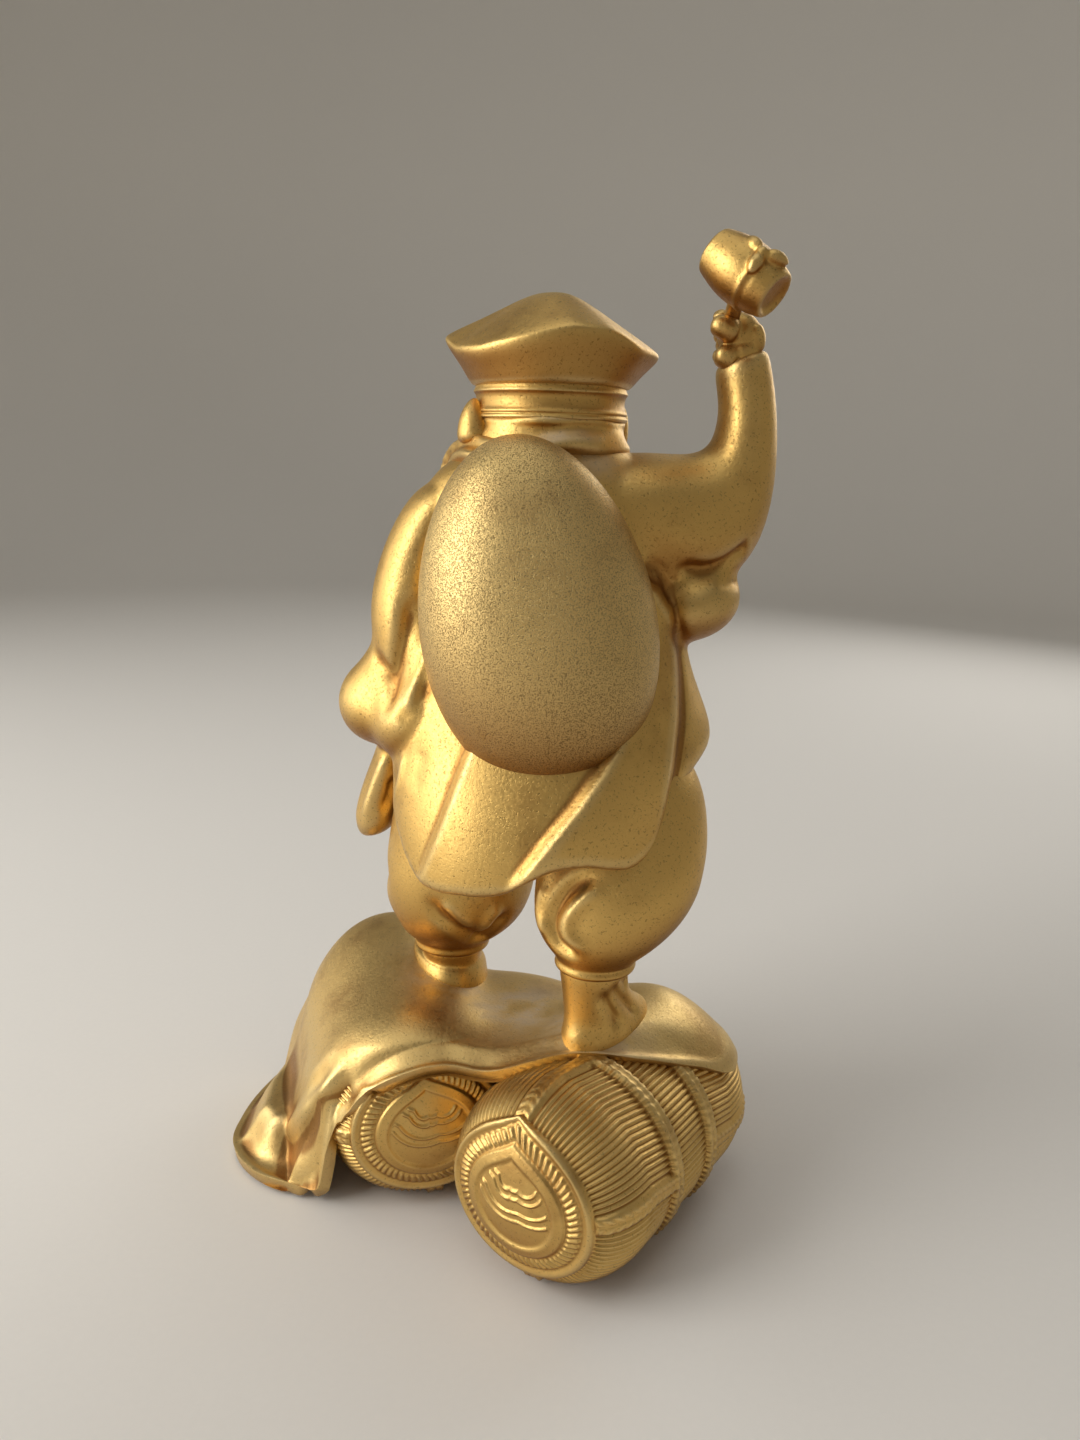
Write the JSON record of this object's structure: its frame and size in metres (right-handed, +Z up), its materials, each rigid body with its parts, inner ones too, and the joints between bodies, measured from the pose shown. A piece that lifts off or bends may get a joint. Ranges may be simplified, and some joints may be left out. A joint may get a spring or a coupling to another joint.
{
  "type": "fortune figure with sack and mallet",
  "caption": "Gilt cast figure in cap and coat with a sack on its back and a raised mallet that turns in its fist, standing on a cloth over straw bales.",
  "frame": {"origin": "on the floor, under the middle of the figure's box", "axes": "+Z up, the figure faces -Y and carries its sack on the +Y side, its right hand is at -X"},
  "size_m": [0.096, 0.0838, 0.1655],
  "materials": {
    "gold": "satin gold plate on a fine cast grain",
    "steel": "zinc plated",
    "felt": "green felt"
  },
  "bodies": {
    "figure": {"cap_band": "gold", "cap_crown": "gold", "cloth_cover": "gold", "coat": "gold", "coat_tail": "gold", "head": "gold", "left_bale": "gold", "left_boot": "gold", "left_boot_screw": "steel", "left_felt_pad": "felt", "left_hand": "gold", "left_hip_dowel": "steel", "left_shoulder_dowel": "steel", "left_sleeve": "gold", "left_trouser_leg": "gold", "neck_dowel": "steel", "neck_scarf": "gold", "right_bale": "gold", "right_boot": "gold", "right_boot_screw": "steel", "right_felt_pad": "felt", "right_hand": "gold", "right_hip_dowel": "steel", "right_shoulder_dowel": "steel", "right_sleeve": "gold", "right_trouser_leg": "gold", "sack": "gold", "sack_dowel": "steel", "sack_mouth": "gold"},
    "mallet": {"mallet_handle": "gold", "mallet_head": "gold"}
  },
  "joints": [
    {"name": "mallet_turn", "type": "hinge", "parent": "figure", "child": "mallet", "pos_m": [-0.03731, -0.00543, 0.1521], "axis": [-0.0599, 0.7586, 0.6488], "continuous": true}
  ]
}
